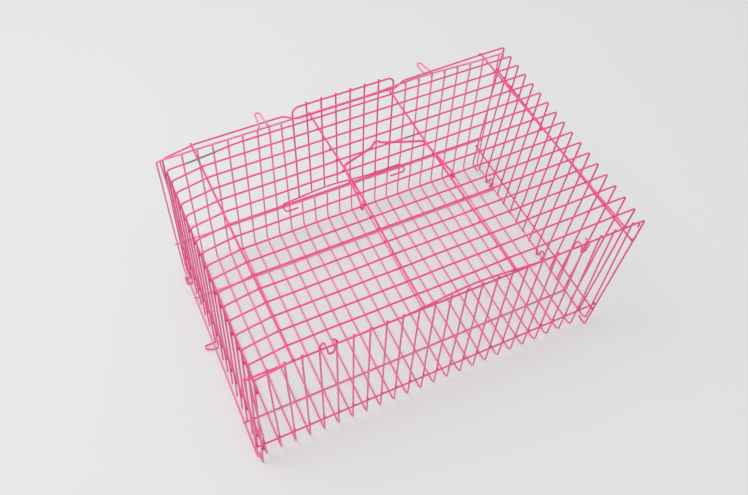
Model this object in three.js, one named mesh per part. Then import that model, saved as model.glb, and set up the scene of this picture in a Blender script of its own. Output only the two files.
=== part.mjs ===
// Portable pet cage of coated steel wire.
// A U shaped base mesh makes the floor, the front and the back wall. An inverted U shaped cover
// mesh makes the top and both sides. Hairpin tabs bent from neighbouring wires hold the two
// together. A door of wire lifts in the back wall, and a wire handle lies on the top.
// Millimetres, +Z up, front at -Y, back at +Y, the ground at z = 0.
import * as THREE from 'three';

// Diameters of the coated wire
const wireDiameter = 2;
const rodDiameter = 2.4;
const topRodDiameter = 3;
const doorFrameDiameter = 2.5;
const doorBarDiameter = 2;
const handleDiameter = 2.6;

// Spaces between wires that are welded, and between wires that move or pass
const weldGap = 0.1;
const passGap = 0.5;

// Base mesh
const baseWireCount = 26;
const baseLength = 423;
const baseWidth = 270;
const baseBend = 8;
const firstWireFromEnd = 10;
const lastWireFromEnd = 22;
const leftEndWireLean = 6;
const frontRodHeight = 43;
const sillHeight = 53;
const floorRodFromSide = 46.5;
const rodEndBend = 4;
const rodEndDrop = 9;
const wireEndPastRod = 1.6;

// Cover mesh
const topHeight = 207;
const coverWireCount = 18;
const coverShorterAtTop = 4;
const coverLean = 11.3;
const sideInsetAtFloor = 3.3;
const leftDroop = 7.5;
const leftDroopRun = 36;
const leftDroopBend = 40;
const leftCornerBend = 5;
const rightCornerBend = 3.2;
const edgeDrop = 5.6;
const wireEndHeight = 6;
const sideLowRodHeight = 38;
const sideHighRodDrop = 33.5;
const cornerFootLength = 13;
const cornerFootBend = 3;
const firstTopRodFromLeft = 35;
const lastTopRodFromRight = 30.5;

// Door and the two wires that guide it
const doorOffset = 12;
const leftGuideIndex = 9;
const rightGuideIndex = 18;
const doorWidth = 123.8;
const doorRise = 13;
const doorCornerBend = 8;
const doorBarCount = 6;
const hookReach = 8;
const leftHookPlay = 8;
const leftHookReturn = 17;
const rightHookPlay = 5;
const rightHookReturn = 22;
const hookBend = 4;
const edgeJogBefore = 12;
const edgeJogAfter = 2;
const edgeJogInside = 4;
const edgeJogBend = 6;

// Handle and the two top rods that it lies on
const handleOffset = 16.3;
const handleRodSpacing = 100.6;
const handleHingeSpan = 108.4;
const handleShoulderSpan = 90.8;
const handleHingeIndex = 8;
const handleLegReach = 51;
const handleSlopeReach = 61.5;
const handlePeakReach = 67;
const handlePeakHalf = 9.5;
const handleTiltAngle = THREE.MathUtils.degToRad(10.5);
const handleShoulderBend = 5;
const handlePeakBend = 4;
const eyeEndAngle = THREE.MathUtils.degToRad(250);

// Hairpin tabs
const backTabIndexPairs = [[7, 8], [19, 20]];
const frontTabIndexPairs = [[5, 6], [21, 22]];
const coverTabChains = [
  { wires: [6, 7], side: 1, curled: true },
  { wires: [8, 9], side: -1, curled: false },
  { wires: [14, 15, 16], side: 1, curled: true },
];
const tabRootHalf = 4.2;
const tabTipHalf = 2.6;
const tabReach = 19;
const tabBend = 2.2;
const tabHang = 12;
const tabCurlHeight = 10;
const tabPinchRise = 11;
const tabGap = 0.4;

// How finely round forms are cut
const wireSides = 6;
const rodSides = 8;
const bendStepAngle = THREE.MathUtils.degToRad(24);
const eyeSteps = 10;

// Sizes that follow
const wireRadius = wireDiameter / 2;
const rodRadius = rodDiameter / 2;
const topRodRadius = topRodDiameter / 2;
const doorFrameRadius = doorFrameDiameter / 2;
const doorBarRadius = doorBarDiameter / 2;
const handleRadius = handleDiameter / 2;
const baseHalfLength = baseLength / 2;
const basePitch = (baseLength - firstWireFromEnd - lastWireFromEnd) / (baseWireCount - 3);
const baseHalfWidth = baseWidth / 2;
const floorHeight = rodDiameter + weldGap + wireRadius;
const wireToRod = wireRadius + weldGap + rodRadius;
const edgeRodHeight = topHeight - edgeDrop;
const wallWireTop = edgeRodHeight + wireEndPastRod;
const coverOutset = wireRadius + weldGap + rodDiameter + passGap + wireRadius;
const coverHalfWidth = baseHalfWidth + coverOutset;
const coverLengthAtTop = baseLength - coverShorterAtTop;
const coverPitch = 2 * coverHalfWidth / (coverWireCount - 1);
const sideBottomX = baseHalfLength - sideInsetAtFloor;
const leftTopX = coverLean - coverLengthAtTop / 2;
const rightTopX = coverLean + coverLengthAtTop / 2;
const leftCornerHeight = topHeight - leftDroop;
const tabOverHeight = topHeight + wireDiameter + tabGap;
const tabUnderHeight = floorHeight - wireDiameter - tabGap + weldGap;

const coating = { color: 0xe8437f, roughness: 0.38, metalness: 0 };
const base = new THREE.Group();
const cover = new THREE.Group();
const door = new THREE.Group();
const handle = new THREE.Group();

// The centre line of a bent wire: straight runs between corners, each corner an arc of its radius.
class BentWire extends THREE.Curve {
  constructor(corners) {
    super();
    this.rings = [];
    corners.forEach((corner, index) => this.addCorner(corners, corner, index));
    this.tangents = this.rings.map((ring, index) => {
      const next = this.rings[Math.min(index + 1, this.rings.length - 1)];
      const last = this.rings[Math.max(index - 1, 0)];
      const ahead = next.clone().sub(ring).normalize();
      return ahead.add(ring.clone().sub(last).normalize()).normalize();
    });
  }

  addCorner(corners, corner, index) {
    const here = corner.at;
    if (index === 0 || index === corners.length - 1 || !corner.bend) {
      this.rings.push(here.clone());
      return;
    }
    const toLast = corners[index - 1].at.clone().sub(here);
    const toNext = corners[index + 1].at.clone().sub(here);
    const room = Math.min(toLast.length(), toNext.length()) / 2;
    toLast.normalize();
    toNext.normalize();
    const turn = Math.PI - toLast.angleTo(toNext);
    const cut = Math.min(corner.bend * Math.tan(turn / 2), room);
    const radius = cut / Math.tan(turn / 2);
    const middle = toLast.clone().add(toNext).normalize();
    const centre = here.clone().addScaledVector(middle, radius / Math.cos(turn / 2));
    const spoke = here.clone().addScaledVector(toLast, cut).sub(centre);
    const axis = new THREE.Vector3().crossVectors(toNext, toLast).normalize();
    const steps = Math.max(1, Math.round(turn / bendStepAngle));
    for (let step = 0; step <= steps; step += 1) {
      const turned = spoke.clone().applyAxisAngle(axis, turn * step / steps);
      this.rings.push(centre.clone().add(turned));
    }
  }

  getPointAt(share, target = new THREE.Vector3()) {
    return target.copy(this.rings[Math.round(share * (this.rings.length - 1))]);
  }

  getTangentAt(share, target = new THREE.Vector3()) {
    return target.copy(this.tangents[Math.round(share * (this.rings.length - 1))]);
  }
}

function corner(x, y, z, bend = 0) {
  return { at: new THREE.Vector3(x, y, z), bend };
}

function section(radius, sides) {
  const points = [];
  for (let side = 0; side < sides; side += 1) {
    const angle = 2 * Math.PI * (side + 0.5) / sides;
    points.push(new THREE.Vector2(radius * Math.cos(angle), radius * Math.sin(angle)));
  }
  return new THREE.Shape(points);
}

function addMesh(group, name, geometry) {
  const mesh = new THREE.Mesh(geometry, new THREE.MeshStandardMaterial(coating));
  mesh.name = name;
  group.add(mesh);
  return mesh;
}

// A wire bent along its corners.
function addWire(group, name, corners, radius, sides = wireSides) {
  const path = new BentWire(corners);
  const steps = path.rings.length - 1;
  const geometry = new THREE.ExtrudeGeometry(section(radius, sides), { steps, extrudePath: path });
  return addMesh(group, name, geometry);
}

// A straight rod between two points, with a flat side down.
function addRod(group, name, from, to, radius) {
  const run = new THREE.Vector3().subVectors(to, from);
  const geometry = new THREE.ExtrudeGeometry(section(radius, rodSides), {
    depth: run.length(),
    bevelEnabled: false,
  });
  const mesh = addMesh(group, name, geometry);
  mesh.position.copy(from);
  mesh.up.set(0, 0, 1);
  mesh.lookAt(to);
  return mesh;
}

function numbered(name, ...indices) {
  return [name, ...indices.map((index) => String(index + 1).padStart(2, '0'))].join('_');
}

function mirrored(corners, axis, middle) {
  return corners.map(({ at, bend }) => {
    const copy = at.clone();
    copy[axis] = 2 * middle - copy[axis];
    return { at: copy, bend };
  }).reverse();
}

// Base mesh

function baseX(index) {
  if (index === baseWireCount - 1) {
    return baseHalfLength;
  }
  return index ? basePitch * (index - 1) + firstWireFromEnd - baseHalfLength : -baseHalfLength;
}

function isCutAtSill(index) {
  return index > leftGuideIndex && index < rightGuideIndex;
}

// One base wire from the floor's middle to the end of one wall, side -1 front, +1 back.
function baseHalf(index, side) {
  const top = side > 0 && isCutAtSill(index) ? sillHeight + wireEndPastRod : wallWireTop;
  const lean = index ? 0 : leftEndWireLean;
  return [
    corner(baseX(index), side * baseHalfWidth, floorHeight, baseBend),
    corner(baseX(index) + lean, side * baseHalfWidth, top),
  ];
}

// Half of a tab that rises beside the wall rod, passes over the cover's edge wire and points out.
function baseTabHalf(index, middle, side, curled) {
  const wall = side * baseHalfWidth;
  const away = Math.sign(baseX(index) - middle);
  const root = middle + away * tabRootHalf;
  const tip = middle + away * tabTipHalf;
  const half = [
    corner(baseX(index), wall, floorHeight, baseBend),
    corner(baseX(index), wall, wallWireTop, tabBend),
    corner(root, wall, tabOverHeight, tabBend),
  ];
  if (curled) {
    const outside = side * (coverHalfWidth + wireDiameter + tabGap);
    half.push(corner(root, outside, tabOverHeight, tabBend));
    half.push(corner(tip, outside, tabOverHeight - tabHang, tabTipHalf));
  } else {
    half.push(corner(tip, wall + side * tabReach, tabOverHeight, tabTipHalf));
  }
  return half;
}

function addBaseWires() {
  const paired = new Set([...backTabIndexPairs, ...frontTabIndexPairs].flat());
  for (let index = 0; index < baseWireCount; index += 1) {
    if (!paired.has(index)) {
      const corners = [...baseHalf(index, -1).reverse(), ...baseHalf(index, 1)];
      addWire(base, numbered('base_wire', index), corners, wireRadius);
    }
  }
  const addPair = ([first, second], side, curled) => {
    const middle = (baseX(first) + baseX(second)) / 2;
    const half = [
      ...baseHalf(first, -side).reverse(),
      ...baseTabHalf(first, middle, side, curled),
    ];
    const corners = [...half, ...mirrored(half, 'x', middle)];
    addWire(base, numbered('base_wire', first, second), corners, wireRadius);
  };
  backTabIndexPairs.forEach((pair) => addPair(pair, 1, false));
  frontTabIndexPairs.forEach((pair) => addPair(pair, -1, true));
}

function addBaseRods() {
  const wallRodY = baseHalfWidth + wireToRod;
  const floorRodY = baseHalfWidth - floorRodFromSide;
  const floorRodZ = floorHeight - wireToRod;
  const reach = baseHalfLength + wireEndPastRod;
  const rods = [
    ['front_low_rod', -wallRodY, frontRodHeight],
    ['floor_front_rod', -floorRodY, floorRodZ],
    ['floor_back_rod', floorRodY, floorRodZ],
    ['door_sill_rod', wallRodY, sillHeight],
  ];
  for (const [name, y, z] of rods) {
    addRod(base, name, new THREE.Vector3(-reach, y, z), new THREE.Vector3(reach, y, z), rodRadius);
  }
  // The edge rods are bent down at their ends, along the corner posts.
  for (const [name, y] of [['front_edge_rod', -wallRodY], ['back_edge_rod', wallRodY]]) {
    const left = leftEndWireLean - baseHalfLength;
    const right = rightTopX - wireEndPastRod;
    addWire(base, name, [
      corner(left, y, edgeRodHeight - rodEndDrop),
      corner(left, y, edgeRodHeight, rodEndBend),
      corner(right, y, edgeRodHeight, rodEndBend),
      corner(right, y, edgeRodHeight - rodEndDrop),
    ], rodRadius, rodSides);
  }
}

// Cover mesh

function coverY(index) {
  return coverPitch * index - coverHalfWidth;
}

// Where a side wall's wires are at a height, side -1 left, +1 right.
function sideX(side, z) {
  const bottom = side * sideBottomX;
  const top = side < 0 ? leftTopX : rightTopX;
  const topZ = side < 0 ? leftCornerHeight : topHeight;
  return bottom + (top - bottom) * (z - floorHeight) / (topZ - floorHeight);
}

function leftShoulder(y) {
  return [
    corner(leftTopX, y, leftCornerHeight, leftCornerBend),
    corner(leftTopX + leftDroopRun, y, topHeight, leftDroopBend),
  ];
}

function rightShoulder(y) {
  return [corner(rightTopX, y, topHeight, rightCornerBend)];
}

function sideEnd(side, y) {
  return corner(sideX(side, wireEndHeight), y, wireEndHeight);
}

// The wires at the front and back edge end in a foot that is bent in along the floor.
function footEnd(side, y) {
  const inward = -Math.sign(y);
  return [
    corner(side * sideBottomX, y + inward * cornerFootLength, tabUnderHeight),
    corner(side * sideBottomX, y, tabUnderHeight, cornerFootBend),
  ];
}

// The back edge wire steps inside the wall's rod where the door lifts past it.
function edgeJog() {
  const inside = baseHalfWidth - edgeJogInside;
  const left = doorOffset - doorWidth / 2;
  const right = doorOffset + doorWidth / 2;
  return [
    corner(left - edgeJogBefore, coverHalfWidth, topHeight, edgeJogBend),
    corner(left + edgeJogAfter, inside, topHeight, edgeJogBend),
    corner(right - edgeJogAfter, inside, topHeight, edgeJogBend),
    corner(right + edgeJogBefore, coverHalfWidth, topHeight, edgeJogBend),
  ];
}

// Half of a tab that passes under the base's outer wire, then points out or curls up round it.
function coverTabHalf(index, middle, side, curled) {
  const y = coverY(index);
  const away = Math.sign(y - middle);
  const root = middle + away * tabRootHalf;
  const tip = middle + away * tabTipHalf;
  const half = [
    corner(sideX(side, floorHeight + tabPinchRise), y, floorHeight + tabPinchRise, tabBend),
    corner(side * sideBottomX, root, tabUnderHeight, tabBend),
  ];
  if (curled) {
    const outside = side * (baseHalfLength + wireDiameter + tabGap);
    half.push(corner(outside, root, tabUnderHeight, tabBend));
    half.push(corner(outside, tip, tabCurlHeight, tabTipHalf));
  } else {
    half.push(corner(side * (sideBottomX + tabReach), tip, tabUnderHeight, tabTipHalf));
  }
  return half;
}

function addCoverWires() {
  const last = coverWireCount - 1;
  const chained = new Set(coverTabChains.flatMap(({ wires }) => wires));
  for (let index = 0; index < coverWireCount; index += 1) {
    if (!chained.has(index)) {
      const y = coverY(index);
      const atEdge = index === 0 || index === last;
      const corners = [
        ...(atEdge ? footEnd(-1, y) : [sideEnd(-1, y)]),
        ...leftShoulder(y),
        ...(index === last ? edgeJog() : []),
        ...rightShoulder(y),
        ...(atEdge ? footEnd(1, y).reverse() : [sideEnd(1, y)]),
      ];
      addWire(cover, numbered('cover_wire', index), corners, wireRadius);
    }
  }
  coverTabChains.forEach(addCoverChain);
}

// Cover wires that tabs join into one wire, the first tab at the given side and then in turn.
function addCoverChain({ wires, side, curled }) {
  const corners = [sideEnd(-side, coverY(wires[0]))];
  wires.forEach((index, place) => {
    const y = coverY(index);
    const toward = place % 2 ? -side : side;
    const top = [...leftShoulder(y), ...rightShoulder(y)];
    corners.push(...(toward < 0 ? top.reverse() : top));
    if (place === wires.length - 1) {
      corners.push(sideEnd(toward, y));
      return;
    }
    const middle = (y + coverY(index + 1)) / 2;
    corners.push(...coverTabHalf(index, middle, toward, curled));
    corners.push(...coverTabHalf(index + 1, middle, toward, curled).reverse());
  });
  addWire(cover, numbered('cover_wire', ...wires), corners, wireRadius);
}

function addCoverRods() {
  const topRodZ = topHeight + wireRadius + weldGap + topRodRadius;
  const topRodReach = coverHalfWidth + wireEndPastRod;
  const places = [
    leftTopX + firstTopRodFromLeft,
    handleOffset - handleRodSpacing / 2,
    handleOffset + handleRodSpacing / 2,
    rightTopX - lastTopRodFromRight,
  ];
  places.forEach((x, index) => {
    const front = new THREE.Vector3(x, -topRodReach, topRodZ);
    const back = new THREE.Vector3(x, topRodReach, topRodZ);
    addRod(cover, numbered('top_rod', index), front, back, topRodRadius);
  });
  const heights = { low: sideLowRodHeight, high: topHeight - sideHighRodDrop };
  for (const [side, sideName] of [[-1, 'left'], [1, 'right']]) {
    for (const [level, z] of Object.entries(heights)) {
      const [front, back] = [-1, 1].map((end) => {
        const y = end * (coverHalfWidth + wireEndPastRod);
        return new THREE.Vector3(sideX(side, z) - side * wireToRod, y, z);
      });
      addRod(cover, `${sideName}_${level}_rod`, front, back, rodRadius);
    }
  }
}

// Door

function addDoor() {
  const y = baseHalfWidth + wireRadius + weldGap + rodDiameter + passGap + doorFrameRadius;
  const left = doorOffset - doorWidth / 2;
  const right = doorOffset + doorWidth / 2;
  const railZ = sillHeight + rodRadius + passGap + doorFrameRadius;
  const topZ = edgeRodHeight + doorRise;
  const frameZ = railZ + 2 * doorFrameRadius + weldGap;
  addWire(door, 'door_frame', [
    corner(left, y, frameZ - doorFrameRadius),
    corner(left, y, topZ, doorCornerBend),
    corner(right, y, topZ, doorCornerBend),
    corner(right, y, frameZ - doorFrameRadius),
  ], doorFrameRadius, rodSides);

  const hookY = baseHalfWidth - hookReach;
  const leftHookX = baseX(leftGuideIndex) - leftHookPlay;
  const rightHookX = baseX(rightGuideIndex) + rightHookPlay;
  addWire(door, 'door_rail', [
    corner(leftHookX + leftHookReturn, hookY, railZ),
    corner(leftHookX, hookY, railZ, hookBend),
    corner(leftHookX, y, railZ, hookBend),
    corner(rightHookX, y, railZ, hookBend),
    corner(rightHookX, hookY, railZ, hookBend),
    corner(rightHookX - rightHookReturn, hookY, railZ),
  ], doorFrameRadius, rodSides);

  const barY = y + doorFrameRadius + weldGap + doorBarRadius;
  for (let index = 0; index < doorBarCount; index += 1) {
    const x = left + doorWidth * (index + 1) / (doorBarCount + 1);
    const foot = new THREE.Vector3(x, barY, railZ - doorFrameRadius);
    const head = new THREE.Vector3(x, barY, topZ + doorFrameRadius);
    addRod(door, numbered('door_bar', index), foot, head, doorBarRadius);
  }
}

// Handle: one wire whose ends are eyes round a top wire, lying back on two of the top rods

function addHandle() {
  const hingeY = coverY(handleHingeIndex);
  const eyeRadius = wireRadius + passGap + handleRadius;
  const at = (x, reach, bend) => corner(
    handleOffset + x,
    hingeY + reach * Math.cos(handleTiltAngle),
    topHeight + eyeRadius + reach * Math.sin(handleTiltAngle),
    bend,
  );
  const half = [];
  for (let step = eyeSteps; step > 0; step -= 1) {
    const angle = Math.PI / 2 + eyeEndAngle * step / eyeSteps;
    half.push(corner(
      handleOffset - handleHingeSpan / 2,
      hingeY + eyeRadius * Math.cos(angle),
      topHeight + eyeRadius * Math.sin(angle),
    ));
  }
  half.push(at(-handleHingeSpan / 2, 0, 0));
  half.push(at(-handleShoulderSpan / 2, handleLegReach, handleShoulderBend));
  half.push(at(-handlePeakHalf, handleSlopeReach, handlePeakBend));
  const peak = at(0, handlePeakReach, handlePeakBend);
  const corners = [...half, peak, ...mirrored(half, 'x', handleOffset)];
  addWire(handle, 'carry_handle', corners, handleRadius, rodSides);
}

addBaseWires();
addBaseRods();
addCoverWires();
addCoverRods();
addDoor();
addHandle();

// The origin is under the middle of the whole cage, on the ground.
const cage = new THREE.Group();
cage.add(base, cover, door, handle);
cage.updateMatrixWorld(true);
const box = new THREE.Box3().setFromObject(cage, true);
const middle = box.getCenter(new THREE.Vector3());
cage.position.set(-middle.x, -middle.y, -box.min.z);
cage.updateMatrixWorld(true);

export default cage;
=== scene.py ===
"""Looks of a portable wire pet cage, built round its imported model.

Each solid of the cage is an angular sweep. Here every wire is drawn again along the same route as
a round wire with a glossy plastic coating, rounded cut ends and coating gathered at its welds.
Sizes are in millimetres until a mesh is made, and then in metres in the frame of the model.
"""

import logging
import math
import random
from dataclasses import dataclass, field
from enum import Enum

import bpy
import numpy as np
from bpy.types import NodeSocket, NodeTree
from mathutils import Matrix, Vector


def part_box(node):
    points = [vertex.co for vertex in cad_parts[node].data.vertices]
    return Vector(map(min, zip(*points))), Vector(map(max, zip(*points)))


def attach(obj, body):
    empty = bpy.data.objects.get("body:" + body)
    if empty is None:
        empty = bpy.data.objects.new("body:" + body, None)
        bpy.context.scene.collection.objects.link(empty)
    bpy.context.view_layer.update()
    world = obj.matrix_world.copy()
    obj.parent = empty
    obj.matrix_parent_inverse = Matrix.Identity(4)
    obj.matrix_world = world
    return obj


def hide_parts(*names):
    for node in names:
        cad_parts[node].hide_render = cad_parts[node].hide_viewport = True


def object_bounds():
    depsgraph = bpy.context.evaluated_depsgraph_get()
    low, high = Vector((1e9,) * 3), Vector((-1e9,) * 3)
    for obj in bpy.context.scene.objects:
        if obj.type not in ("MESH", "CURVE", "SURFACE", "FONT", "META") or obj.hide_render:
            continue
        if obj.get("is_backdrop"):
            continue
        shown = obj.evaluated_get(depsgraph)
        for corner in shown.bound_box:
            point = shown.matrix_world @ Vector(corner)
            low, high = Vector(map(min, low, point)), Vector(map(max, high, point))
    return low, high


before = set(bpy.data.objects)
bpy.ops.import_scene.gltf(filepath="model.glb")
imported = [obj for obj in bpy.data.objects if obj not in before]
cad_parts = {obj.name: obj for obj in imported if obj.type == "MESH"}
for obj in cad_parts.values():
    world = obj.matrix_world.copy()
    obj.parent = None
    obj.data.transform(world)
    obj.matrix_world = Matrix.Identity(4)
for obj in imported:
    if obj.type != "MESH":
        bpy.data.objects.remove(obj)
CAD_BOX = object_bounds()

MM = 0.001
SEED = 7
WELD_REACH = 0.9
WELD_NEIGHBOURS = 2
SMALLEST = 1e-9
MIX_FIRST, MIX_SECOND, MIX_RESULT = 6, 7, 2
LOG = logging.getLogger("pet_cage")
Numbers = tuple[float, ...]

# The left tab is drawn one wire further back than in the solids, so these pieces change nodes.
STANDS_FOR = {
    "cover_wire_09": ("cover_wire_09_10",),
    "cover_wire_10_11": ("cover_wire_09_10", "cover_wire_11"),
}


class Body(Enum):
    """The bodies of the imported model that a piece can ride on."""

    CAGE = "cage"
    DOOR = "door"
    HANDLE = "handle"


class Slot(Enum):
    """The material slots of the pieces."""

    BASE = "base_coating"
    COVER = "cover_coating"
    DOOR = "door_coating"
    HANDLE = "handle_coating"


class Side(Enum):
    """The front and the back wall, with the sign of their place across the cage."""

    FRONT = -1
    BACK = 1


@dataclass(frozen=True)
class Corner:
    """A corner of a wire's route.

    Args:
        at: Place of the corner before it is rounded.
        bend: Radius of the bend there, 0 for none.
    """

    at: Vector
    bend: float = 0.0


def corner(x: float, y: float, z: float, bend: float = 0.0) -> Corner:
    """Returns a corner of a route at a place in millimetres."""
    return Corner(Vector((x, y, z)), bend)


def numbered(name: str, *indices: int) -> str:
    """Returns the name of a wire from its first word and its places, counted from 0."""
    return "_".join([name, *(f"{index + 1:02d}" for index in indices)])


@dataclass(frozen=True)
class Gauges:
    """Diameters of the coated wires and the spaces between them.

    The shown ones are what the photograph asks for. The others place the wires as in the solids.
    """

    wire: float = 2.0
    rod: float = 2.4
    top_rod: float = 3.0
    shown_rod: float = 2.1
    shown_top_rod: float = 2.2
    shown_door: float = 2.1
    door_frame: float = 2.5
    door_bar: float = 2.0
    handle: float = 2.6
    weld_gap: float = 0.1
    pass_gap: float = 0.5

    @property
    def wire_to_rod(self) -> float:
        """Distance between the middles of a wire and the rod welded across it."""
        return self.wire / 2 + self.weld_gap + self.rod / 2


@dataclass(frozen=True)
class Shell:
    """The sizes that the base and the cover share."""

    gauges: Gauges = Gauges()
    base_length: float = 423.0
    base_width: float = 270.0
    top_height: float = 207.0
    edge_drop: float = 5.6
    wire_end_past_rod: float = 1.6
    cover_lean: float = 11.3
    cover_shorter_at_top: float = 4.0
    cover_wires: int = 18
    door_x: float = 12.0
    door_width: float = 123.8
    tab_root_half: float = 4.2
    tab_tip_half: float = 2.6
    tab_bend: float = 2.2
    tab_gap: float = 0.4

    @property
    def half_length(self) -> float:
        """Half the length of the base."""
        return self.base_length / 2

    @property
    def half_width(self) -> float:
        """Half the width of the base."""
        return self.base_width / 2

    @property
    def floor_height(self) -> float:
        """Height of the middle of the floor wires, which lie on the floor rods."""
        return self.gauges.rod + self.gauges.weld_gap + self.gauges.wire / 2

    @property
    def edge_rod_height(self) -> float:
        """Height of the rods along the top of the front and back wall."""
        return self.top_height - self.edge_drop

    @property
    def wall_wire_top(self) -> float:
        """Height at which the wall wires end."""
        return self.edge_rod_height + self.wire_end_past_rod

    @property
    def cover_half_width(self) -> float:
        """Half the width of the cover between the middles of its edge wires."""
        gauges = self.gauges
        return self.half_width + gauges.wire + gauges.weld_gap + gauges.rod + gauges.pass_gap

    @property
    def left_top_x(self) -> float:
        """Where the left wall meets the top."""
        return self.cover_lean - (self.base_length - self.cover_shorter_at_top) / 2

    @property
    def right_top_x(self) -> float:
        """Where the right wall meets the top."""
        return self.cover_lean + (self.base_length - self.cover_shorter_at_top) / 2

    @property
    def door_sides(self) -> tuple[float, float]:
        """Places of the door's left and right side along the cage."""
        return self.door_x - self.door_width / 2, self.door_x + self.door_width / 2

    def tab_places(self, place: float, middle: float) -> tuple[float, float]:
        """Returns where a tab's root and tip are on the side where its wire has its place."""
        away = math.copysign(1, place - middle)
        return middle + away * self.tab_root_half, middle + away * self.tab_tip_half

    def cover_y(self, index: int) -> float:
        """Returns the place of a cover wire across the cage."""
        return 2 * self.cover_half_width * index / (self.cover_wires - 1) - self.cover_half_width


@dataclass(frozen=True)
class Dent:
    """A soft bend that use has put into a wire.

    Args:
        at: Where it is deepest.
        reach: How far it goes to each side of that, along x, y and z.
        shift: How far the wire is moved there.
    """

    at: Numbers
    reach: Numbers
    shift: Numbers

    def press(self, line: np.ndarray) -> np.ndarray:
        """Returns the points of a line, bent."""
        away = np.clip(np.abs(line - self.at) / self.reach, 0, 1)
        share = (0.5 + 0.5 * np.cos(math.pi * away)).prod(axis=1)
        return line + share[:, None] * np.array(self.shift)


class Route:
    """The centre line of a bent wire, as close points along straight runs and arcs."""

    ARC_STEP = math.radians(11)
    RUN_STEP = 11.0
    SHORTEST_STEP = 1e-4

    def __init__(self, corners: list[Corner]) -> None:
        """Works out the points.

        Args:
            corners: The wire's corners from one end to the other.
        """
        self.points: list[Vector] = []
        for index, here in enumerate(corners):
            self._add(corners, here, index)
        self._divide()

    def _add(self, corners: list[Corner], here: Corner, index: int) -> None:
        """Adds the arc round one corner.

        Args:
            corners: All the corners.
            here: The corner to add.
            index: Its place among them.
        """
        if index in (0, len(corners) - 1) or not here.bend:
            self.points.append(here.at.copy())
            return
        to_last = corners[index - 1].at - here.at
        to_next = corners[index + 1].at - here.at
        room = min(to_last.length, to_next.length) / 2
        to_last.normalize()
        to_next.normalize()
        turn = math.pi - to_last.angle(to_next)
        cut = min(here.bend * math.tan(turn / 2), room)
        radius = cut / math.tan(turn / 2)
        centre = here.at + (to_last + to_next).normalized() * radius / math.cos(turn / 2)
        spoke = here.at + to_last * cut - centre
        axis = to_next.cross(to_last).normalized()
        steps = max(2, math.ceil(turn / self.ARC_STEP))
        for step in range(steps + 1):
            self.points.append(centre + Matrix.Rotation(turn * step / steps, 3, axis) @ spoke)

    def _divide(self) -> None:
        """Cuts the long straight runs into short ones."""
        divided = [self.points[0]]
        for last, here in zip(self.points, self.points[1:]):
            run = here - last
            if run.length < self.SHORTEST_STEP:
                continue
            parts = max(1, math.ceil(run.length / self.RUN_STEP))
            divided += [last + run * part / parts for part in range(1, parts + 1)]
        self.points = divided

    def array(self) -> np.ndarray:
        """Returns the points as an array with a row for each."""
        return np.array([tuple(point) for point in self.points])


@dataclass
class Wire:
    """One coated wire that stands for one solid of the model.

    Args:
        node: The solid that it replaces.
        corners: Its route.
        diameter: Its thickness with the coating.
        body: The body that it rides on.
        slot: The material slot that it takes its finish from.
        is_rod: Whether it is a rod that other wires are welded to.
        sway: Direction in which its straight runs wander a little, or None.
        dents: Bends that use has put into it.
    """

    node: str
    corners: list[Corner]
    diameter: float
    body: Body
    slot: Slot
    is_rod: bool = False
    sway: Vector | None = None
    dents: tuple[Dent, ...] = ()
    line: np.ndarray = field(default=None, repr=False)
    welds: list["Weld"] = field(default_factory=list, repr=False)

    SWAY = 0.32
    SWAY_LENGTHS = (61.0, 97.0, 173.0)
    SWAY_FADE = 20.0
    SHORTEST_RUN = 20.0

    def draw(self, chance: random.Random) -> None:
        """Works out the centre line.

        Args:
            chance: Source of the random wander.
        """
        self.line = Route(self.corners).array()
        for dent in self.dents:
            self.line = dent.press(self.line)
        phases = [chance.uniform(0, 2 * math.pi) for _ in self.SWAY_LENGTHS]
        if self.sway is None:
            return
        steps = np.linalg.norm(np.diff(self.line, axis=0), axis=1)
        along = np.concatenate([[0], np.cumsum(steps)])
        wave = sum(np.sin(2 * math.pi * along / length + phase)
                   for length, phase in zip(self.SWAY_LENGTHS, phases))
        fade = np.clip(np.minimum(along, along[-1] - along) / self.SWAY_FADE, 0, 1)
        wander = wave * fade * self.SWAY / len(self.SWAY_LENGTHS)
        self.line += wander[:, None] * np.array(tuple(self.sway))[None, :]

    def straight_runs(self) -> list[np.ndarray]:
        """Returns the two ends of each straight run that is long enough to be welded to."""
        runs = []
        for one, other in zip(self.corners, self.corners[1:]):
            way = other.at - one.at
            if way.length > self.SHORTEST_RUN:
                way.normalize()
                ends = (one.at + way * one.bend, other.at - way * other.bend)
                runs.append(np.array([tuple(end) for end in ends]))
        return runs


@dataclass(frozen=True)
class Weld:
    """A place where two wires are welded across each other.

    Args:
        at: The middle between the two wires.
        along: Direction of the rod.
        across: Direction of the wire on it.
        apart: Distance between the middles of the two.
        rod_radius: Half the rod's thickness.
    """

    at: np.ndarray
    along: np.ndarray
    across: np.ndarray
    apart: float
    rod_radius: float


def nearest(rod: np.ndarray, line: np.ndarray) -> tuple[np.ndarray, np.ndarray, np.ndarray]:
    """Finds how close a route comes to one straight run of a rod.

    Args:
        rod: The two ends of the run.
        line: The points of the route.

    Returns:
        For each step of the route, the distance, the nearest point on the rod and that on the
        step.
    """
    start, run = rod[0], rod[1] - rod[0]
    starts, runs = line[:-1], np.diff(line, axis=0)
    gap = start - starts
    rr, ss = run @ run, (runs * runs).sum(1)
    rs = runs @ run
    scale = np.maximum(rr * ss - rs * rs, SMALLEST)
    on_rod = np.clip((rs * (runs * gap).sum(1) - ss * (gap @ run)) / scale, 0, 1)
    on_line = np.clip(((start + on_rod[:, None] * run - starts) * runs).sum(1) / ss, 0, 1)
    first = start + on_rod[:, None] * run
    second = starts + on_line[:, None] * runs
    return np.linalg.norm(first - second, axis=1), first, second


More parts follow.
